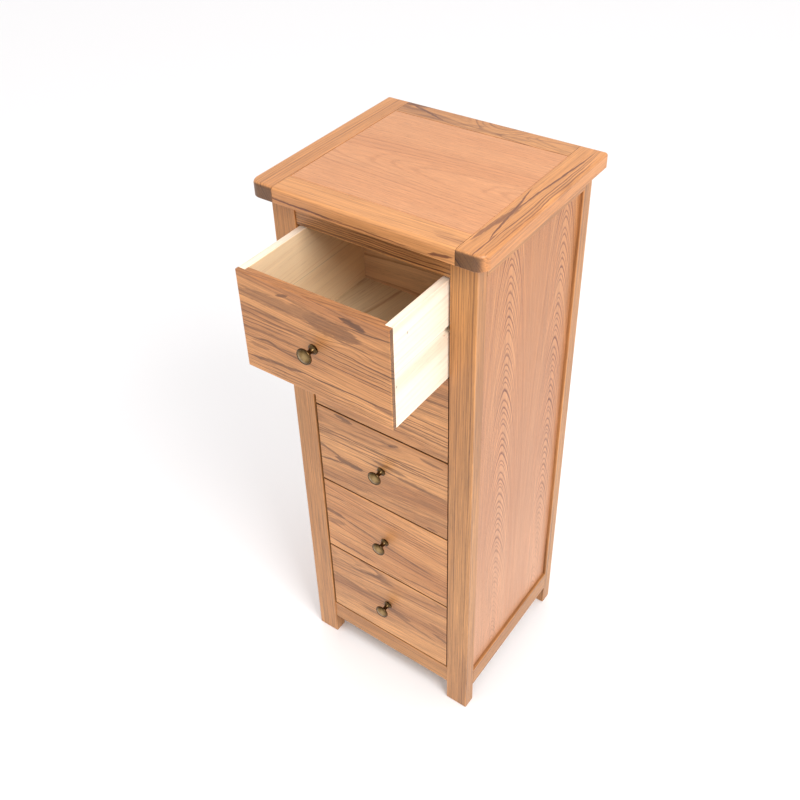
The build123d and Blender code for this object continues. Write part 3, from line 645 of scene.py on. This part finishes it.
def dress_sides_and_back():
    for side, way in (("left", -1), ("right", 1)):
        wood(
            f"{side}_side_panel", "veneer", "Z", (way * -2, 0), (0.0, 0.004), wave=5, feather=2.2, ring=2.3,
            cone=0.52, spread=52, fade=0.3, tones=PANEL_PAINTED_LIGHT, leaves=VENEER_LEAVES,
        )
    wood("back_panel", "back", "Z", (20, -60), (0.0, 0.03), gloss=0.6, leaves=BACK_LEAVES)
    for side in ("left", "right"):
        wood(f"{side}_runners", "runner", "Y", (60, 40), gloss=0.45)


# Each drawer front, from the top: what its board doesn't share with the others.
FRONTS = [
    dict(
        pith=(34, 62), slope=(0.02, -0.05), heart=0.0, shade=1.06, warmth=0.1,
        knots=[((-95, -8, -20), 45, 16, 7), ((75, -8, 30), 60, 18, 6)],
        minerals=(2, [
            (-45, 60, 0.0, 150, 15, 0.42), (38, 54, -0.05, 70, 19, 0.55), (80, 79, -0.14, 30, 7, 0.75),
            (120, 72, 0.05, 70, 1.6, 0.7), (-55, 80, 0.3, 16, 4, 0.6), (-95, 30, 0.02, 45, 2.5, 0.45),
            (-60, 17, 0.05, 60, 3, 0.45), (70, 38, -0.06, 60, 2.5, 0.55),
            (90, 12, -0.1, 110, 1.4, 0.75), (90, 4, -0.07, 110, 1.2, 0.6),
            (80, -4, -0.05, 100, 1.3, 0.75), (100, -12, -0.03, 100, 1.2, 0.6),
            (80, -19, -0.03, 110, 1.5, 0.75), (120, -26, -0.04, 60, 1.2, 0.6),
            (-100, 9, 0.02, 90, 1.2, 0.65), (-100, 2, 0.02, 90, 1.1, 0.65),
            (-100, -10, 0.0, 95, 4, 0.45), (-80, -30, 0.06, 70, 1.6, 0.5),
            (-118, -42, 0.0, 28, 4, 0.45), (50, -59, 0.01, 130, 1.7, 0.8),
            (-85, -65, 0.07, 75, 4.5, 0.65), (135, -62, -0.1, 30, 5, 0.5),
            (0, -76, 0.01, 190, 1.3, 0.6), (0, -83, 0.01, 190, 1.2, 0.55),
            (20, -89, 0.0, 190, 1.2, 0.5),
        ]),
    ),
    dict(
        pith=(30, -90), slope=(0.02, 0.04), heart=0.0, shade=1.0, warmth=0.0,
        minerals=(2, [
            (60, -20, -0.04, 120, 2, 0.6), (90, -34, -0.03, 110, 1.3, 0.65),
            (70, -46, -0.02, 130, 1.5, 0.7), (90, -58, -0.02, 110, 3, 0.5),
            (60, -72, 0.02, 140, 1.4, 0.6), (100, 30, 0.02, 90, 4, 0.5), (-60, 45, 0.02, 90, 7, 0.45),
            (-70, -10, 0.0, 80, 2, 0.5),
        ]),
    ),
    dict(
        pith=(36, 76), slope=(0.03, 0.05), heart=-0.01, shade=1.0, warmth=0.0,
        knots=[((-105, -8, -18), 55, 22, -10)],
        minerals=(2, [
            (-78, -23, -0.05, 42, 9, 0.65), (-125, -8, -0.32, 42, 4, 0.6),
            (-125, -34, 0.16, 46, 3, 0.6), (-20, 46, 0.0, 190, 2, 0.6), (60, 41, -0.02, 130, 1.6, 0.65),
            (0, 36, -0.02, 170, 1.3, 0.6), (-70, 24, -0.03, 90, 1.8, 0.5), (20, 18, -0.02, 48, 6, 0.5),
            (40, 5, -0.02, 130, 2.4, 0.6), (90, 3, -0.03, 75, 6, 0.45), (-85, 90, -0.1, 26, 6, 0.6),
            (30, 80, 0.3, 14, 4, 0.6), (115, 80, -0.05, 32, 4, 0.5), (-10, 77, 0.08, 70, 1.8, 0.45),
            (-20, -56, 0.02, 150, 2, 0.3), (20, -72, 0.02, 160, 1.2, 0.45),
            (-100, -80, 0.03, 90, 1.6, 0.5), (-60, 62, 0.0, 90, 4, 0.25), (115, -90, 0.0, 16, 3, 0.5),
        ]),
    ),
    dict(
        pith=(30, 18), slope=(0.02, -0.05), heart=-0.05, shade=1.17, warmth=0.0,
        knots=[((-125, -8, -4), 40, 26, 9)],
        minerals=(2, [
            (-128, 10, -0.1, 34, 7, 0.6), (-125, -14, 0.1, 30, 9, 0.4), (-60, 0, -0.16, 55, 3, 0.6),
            (40, -17, -0.12, 85, 3, 0.6), (-125, 59, 0.08, 34, 3, 0.5), (5, 61, 0.0, 62, 3, 0.5),
            (90, 56, 0.02, 90, 1.4, 0.5), (100, 46, 0.04, 80, 1.3, 0.5), (80, 38, 0.03, 100, 1.2, 0.4),
            (-90, 42, 0.0, 80, 1.3, 0.45), (-90, -78, -0.07, 75, 3.5, 0.6),
            (100, -76, 0.08, 70, 3, 0.55), (-20, -60, 0.05, 140, 1.3, 0.4),
            (-80, -46, 0.04, 70, 1.6, 0.4), (-80, 24, 0.0, 70, 2, 0.3), (10, -92, 0.0, 50, 2, 0.5),
        ]),
    ),
    dict(
        pith=(44, 84), slope=(0.03, 0.04), heart=-0.06, shade=1.04, warmth=-0.04,
        knots=[((118, -8, -20), 60, 20, -8)],
        minerals=(2, [
            (-30, 70, 0.01, 56, 7, 0.45), (-95, 64, -0.06, 60, 3, 0.35), (-110, 7, -0.1, 60, 5, 0.4),
            (-90, -15, 0.0, 70, 2.5, 0.4), (22, -12, -0.1, 44, 10, 0.45), (70, -28, -0.14, 66, 4, 0.4),
            (-20, 12, -0.02, 50, 4, 0.4), (130, 10, -0.2, 32, 6, 0.35), (140, -18, -0.2, 30, 5, 0.5),
            (60, 52, 0.06, 90, 2, 0.3), (70, 22, 0.04, 80, 1.6, 0.3), (-60, -42, 0.0, 70, 1.5, 0.3),
        ]),
    ),
]
# How dark the painted shade is on the edge faces of a front, which stand in the gap around its drawer. The
# top drawer's stand out in the light.
OPEN_GAP_SHADE, SHUT_GAP_SHADE = 0.1, 0.6
# Two small dark flecks on the outer face of each right drawer side.
SIDE_DOTS = [(0.007, -0.1337, 0.065), (0.007, -0.1648, -0.017)]
# Each drawer side is glued up from two boards.
SIDE_BOARDS = (2, 116.0, 108.0)


def dress_drawers():
    for number, front in enumerate(FRONTS, 1):
        drawer = f"drawer_{number}"
        rims = OPEN_GAP_SHADE if number == 1 else SHUT_GAP_SHADE
        wood(f"{drawer}_front", "front", "X", wave=14, rims=rims, **front)
        for side, way in (("left", -1), ("right", 1)):
            wood(
                f"{drawer}_{side}_side", "pine", "Y", (way * 50, 60 - 20 * number), (0.0, 0.04), gloss=0.55,
                leaves=SIDE_BOARDS, dots=SIDE_DOTS if side == "right" else (), sealed=(0, -way),
            )
        wood(f"{drawer}_back", "back", "X", (60, 30 * number - 80), (0.0, 0.04), gloss=0.55)
        wood(f"{drawer}_bottom", "floor_ply", "Y", (30 * number - 60, 50), (0.08, 0.0), wave=24, gloss=0.55)
        brass(f"{drawer}_knob")
        steel(f"{drawer}_knob_screw")
    steel("top_screws")


dress_frame()
dress_top()
dress_sides_and_back()
dress_drawers()

# ---------------------------------------------------------------- floor and light

FLOOR_SIZE = 30.0
FLOOR_ROUGHNESS = 0.6
FLOOR_COLOUR = (0.95, 0.94, 0.95, 1)
FLOOR_DROP = 0.2 * MM    # the floor lies this much under the feet, so that no two faces coincide
SKY_COLOUR = (1.0, 0.995, 0.99, 1)
KEY_PLACE, KEY_AIM = (2.1, -0.9, 3.1), (0, 0, 0.7)
KEY_SIZE, KEY_WATTS = 1.4, 72


def add_floor():
    near, far = -FLOOR_SIZE, FLOOR_SIZE
    corners = [(near, near, 0), (far, near, 0), (far, far, 0), (near, far, 0)]
    mesh = bpy.data.meshes.new("floor")
    mesh.from_pydata(corners, [], [(0, 1, 2, 3)])
    floor = bpy.data.objects.new("floor", mesh)
    bpy.context.scene.collection.objects.link(floor)
    floor.location.z = -FLOOR_DROP
    material = bpy.data.materials.new("floor")
    material.use_nodes = True
    g = Graph(material.node_tree)
    shader = g.node("BsdfPrincipled")
    shader.inputs["Base Color"].default_value = FLOOR_COLOUR
    shader.inputs["Roughness"].default_value = FLOOR_ROUGHNESS
    g.put(g.node("OutputMaterial").inputs[0], shader.outputs[0])
    mesh.materials.append(material)


def add_key_light():
    data = bpy.data.lights.new("key", "AREA")
    data.size = KEY_SIZE
    data.energy = KEY_WATTS
    light = bpy.data.objects.new("key", data)
    bpy.context.scene.collection.objects.link(light)
    light.location = KEY_PLACE
    aim = Vector(KEY_AIM) - Vector(KEY_PLACE)
    light.rotation_euler = aim.to_track_quat("-Z", "Y").to_euler()


def add_sky():
    world = bpy.data.worlds.new("studio")
    bpy.context.scene.world = world
    world.use_nodes = True
    background = world.node_tree.nodes["Background"]
    background.inputs[0].default_value = SKY_COLOUR
    background.inputs[1].default_value = 1.0


add_floor()
add_key_light()
add_sky()
bpy.context.scene.view_settings.view_transform = "Standard"
